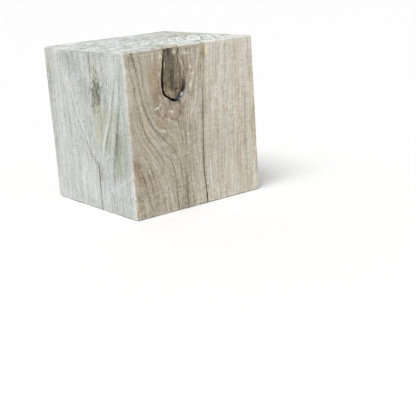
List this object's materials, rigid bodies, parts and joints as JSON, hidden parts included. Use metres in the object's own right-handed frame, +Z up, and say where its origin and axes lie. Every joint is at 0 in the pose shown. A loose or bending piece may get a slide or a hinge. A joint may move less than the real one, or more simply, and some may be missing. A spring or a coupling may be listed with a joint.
{
  "type": "wooden cube",
  "caption": "Solid block of pale limed oak cut from a boxed-heart post, with sanded arrises, drying checks and a dead knot, for use as a riser, stand or desk weight.",
  "frame": {"origin": "middle of the bottom end", "axes": "+Z up along the grain, -Y out of the front face with the knot, -X out of the left face"},
  "size_m": [0.097, 0.094, 0.1],
  "materials": {
    "oak": "limed, fine sanded, matt"
  },
  "bodies": {
    "root": {"wood_cube": "oak"}
  },
  "joints": []
}
